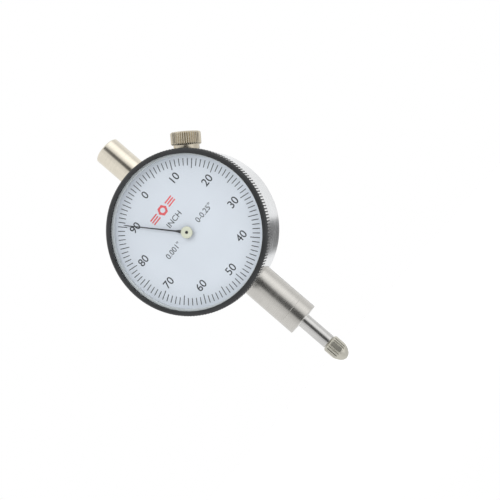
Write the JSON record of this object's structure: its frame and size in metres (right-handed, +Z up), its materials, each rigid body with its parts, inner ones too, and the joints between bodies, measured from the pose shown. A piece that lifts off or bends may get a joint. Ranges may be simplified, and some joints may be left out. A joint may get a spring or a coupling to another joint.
{
  "type": "dial indicator",
  "caption": "Plunger dial indicator: round dial with a turning knurled bezel and clamp screw, sprung spindle in a plain clamping stem, spindle cap, geared pointer and screwed back cover.",
  "frame": {"origin": "on the axis of the clamping stem, halfway along the length of it that a holder can clamp", "axes": "+Z up the spindle, from the contact point to the cap; -Y out of the dial towards the reader; +Y out of the back cover; +X to the right facing the dial"},
  "size_m": [0.0446, 0.0209, 0.0881],
  "materials": {
    "case_alloy": "satin plated die casting",
    "stem_steel": "satin, fine turned",
    "spindle_steel": "ground, bright",
    "contact_steel": "knurled, straw tinted",
    "nickel_plate": "polished warm nickel plate",
    "brass": "satin",
    "hub_brass": "pale polished",
    "screw_steel": "bright",
    "arbor_steel": "polished",
    "spring_steel": "bright drawn wire",
    "ruby": "polished bearing jewel",
    "pointer_black": "matt black enamel",
    "dial_white": "matt printed enamel",
    "crystal_acrylic": "clear",
    "bezel_black": "satin black enamel, straight knurl",
    "cover_grey": "satin dark grey"
  },
  "bodies": {
    "case": {"case_body": "case_alloy", "stem": "stem_steel", "lower_bushing": "stem_steel", "upper_bushing": "brass", "top_cap": "nickel_plate", "spring_post": "brass", "return_spring": "spring_steel", "spindle_guide": "brass", "guide_screw": "screw_steel", "movement_plate": "brass", "plate_screw_1": "screw_steel", "plate_screw_2": "screw_steel", "centre_bridge": "brass", "rack_bridge": "brass", "centre_pillar_1": "brass", "centre_pillar_2": "brass", "rack_pillar_1": "brass", "rack_pillar_2": "brass", "centre_bridge_screw_1": "screw_steel", "centre_bridge_screw_2": "screw_steel", "rack_bridge_screw_1": "screw_steel", "rack_bridge_screw_2": "screw_steel", "centre_front_jewel": "ruby", "centre_rear_jewel": "ruby", "rack_front_jewel": "ruby", "rack_rear_jewel": "ruby", "takeup_front_jewel": "ruby", "takeup_rear_jewel": "ruby", "hairspring": "spring_steel", "hairspring_stud": "brass", "clamp_bush": "brass"},
    "spindle": {"spindle": "spindle_steel", "contact_point": "contact_steel", "guide_pin": "arbor_steel"},
    "rack_gear": {"rack_pinion": "arbor_steel", "rack_wheel": "brass"},
    "pointer": {"centre_pinion": "arbor_steel", "pointer_hub": "hub_brass", "pointer": "pointer_black"},
    "takeup_gear": {"takeup_arbor": "arbor_steel", "takeup_wheel": "brass"},
    "bezel": {"bezel": "bezel_black", "crystal": "crystal_acrylic", "dial_plate": "dial_white", "dial_spacer": "dial_white", "dial_retainer": "spring_steel", "snap_ring": "spring_steel"},
    "clamp_knob": {"clamp_knob": "nickel_plate"},
    "clamp_pin": {"clamp_pin": "brass"},
    "back_cover": {"back_cover": "cover_grey", "cover_screw_1": "screw_steel", "cover_screw_2": "screw_steel", "cover_screw_3": "screw_steel"}
  },
  "joints": [
    {"name": "spindle_slide", "type": "slide", "parent": "case", "child": "spindle", "axis": [0, 0, 1], "range_m": [0, 0.0066], "stiffness_N_per_m": 60, "springref_m": -0.02, "deforming": ["return_spring"]},
    {"name": "rack_gear_spin", "type": "hinge", "parent": "case", "child": "rack_gear", "pos_m": [-0.00307, 0, 0.02296], "axis": [0, 1, 0], "range_deg": [-236, 2]},
    {"name": "pointer_spin", "type": "hinge", "parent": "case", "child": "pointer", "pos_m": [0, 0, 0.0298], "axis": [0, 1, 0], "range_deg": [-4, 940]},
    {"name": "takeup_gear_spin", "type": "hinge", "parent": "case", "child": "takeup_gear", "pos_m": [0.00705, 0, 0.03237], "axis": [0, 1, 0], "range_deg": [-236, 2]},
    {"name": "bezel_turn", "type": "hinge", "parent": "case", "child": "bezel", "pos_m": [0, 0, 0.0298], "axis": [0, 1, 0], "continuous": true},
    {"name": "clamp_knob_turn", "type": "hinge", "parent": "case", "child": "clamp_knob", "pos_m": [0.01583, -0.0056, 0.04508], "axis": [-0.7193, 0, -0.6947], "range_deg": [0, 180]},
    {"name": "clamp_pin_slide", "type": "slide", "parent": "case", "child": "clamp_pin", "axis": [0, -1, 0], "range_m": [0, 0.00026]},
    {"name": "back_cover_slide", "type": "slide", "parent": "case", "child": "back_cover", "axis": [0, 1, 0], "range_m": [0, 0.03]}
  ],
  "couplings": [
    {"joint": "rack_gear_spin", "follows": "spindle_slide", "rad_per_m": -618.42},
    {"joint": "pointer_spin", "follows": "spindle_slide", "rad_per_m": 2473.7},
    {"joint": "takeup_gear_spin", "follows": "spindle_slide", "rad_per_m": -618.42},
    {"joint": "clamp_pin_slide", "follows": "clamp_knob_turn", "m_per_rad": 0.000079577}
  ]
}
